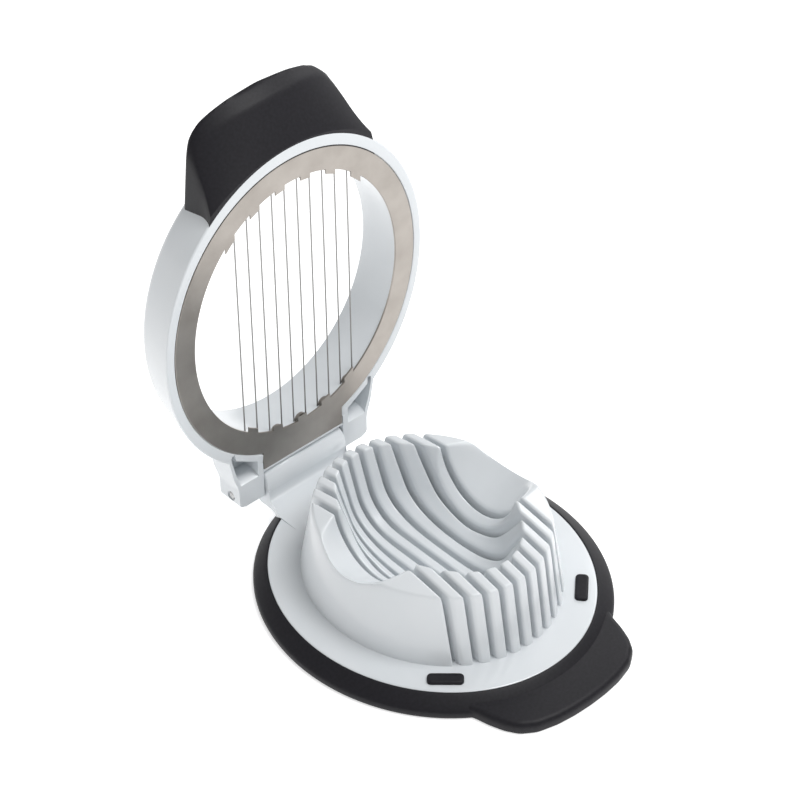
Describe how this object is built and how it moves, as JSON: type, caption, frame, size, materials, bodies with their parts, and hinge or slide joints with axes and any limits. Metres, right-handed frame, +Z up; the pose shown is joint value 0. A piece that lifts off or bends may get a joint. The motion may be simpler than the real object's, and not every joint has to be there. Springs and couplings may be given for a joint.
{
  "type": "egg slicer",
  "caption": "Hinged egg slicer with an oval slotted cradle on a soft-edged base and a swinging ring lid that carries parallel steel cutting wires.",
  "frame": {"origin": "on the table under the middle of the oval cradle", "axes": "+Z up from the table, +X along the hinge pin, -Y towards the finger tabs, +Y towards the hinge"},
  "size_m": [0.1204, 0.1668, 0.1704],
  "materials": {
    "white_plastic": "glossy cool white",
    "soft_grip": "matte dark charcoal",
    "plate_steel": "satin",
    "wire_steel": "bright drawn wire",
    "pin_steel": "satin"
  },
  "bodies": {
    "base": {"base_body": "white_plastic", "base_grip_ring": "soft_grip", "bumper_pad_left": "soft_grip", "bumper_pad_right": "soft_grip", "hinge_pin": "pin_steel"},
    "lid": {"lid_frame": "white_plastic", "lid_grip": "soft_grip", "wire_plate": "plate_steel", "wire_strand_01": "wire_steel", "wire_strand_02": "wire_steel", "wire_strand_03": "wire_steel", "wire_strand_04": "wire_steel", "wire_strand_05": "wire_steel", "wire_strand_06": "wire_steel", "wire_strand_07": "wire_steel", "wire_strand_08": "wire_steel", "wire_strand_09": "wire_steel", "wire_strand_10": "wire_steel", "wire_loops_hinge_side": "wire_steel", "wire_loops_grip_side": "wire_steel"}
  },
  "joints": [
    {"name": "lid_hinge", "type": "hinge", "parent": "base", "child": "lid", "pos_m": [0, 0.0717, 0.01342], "axis": [1, 0, 0], "range_deg": [0, 90.9]}
  ]
}
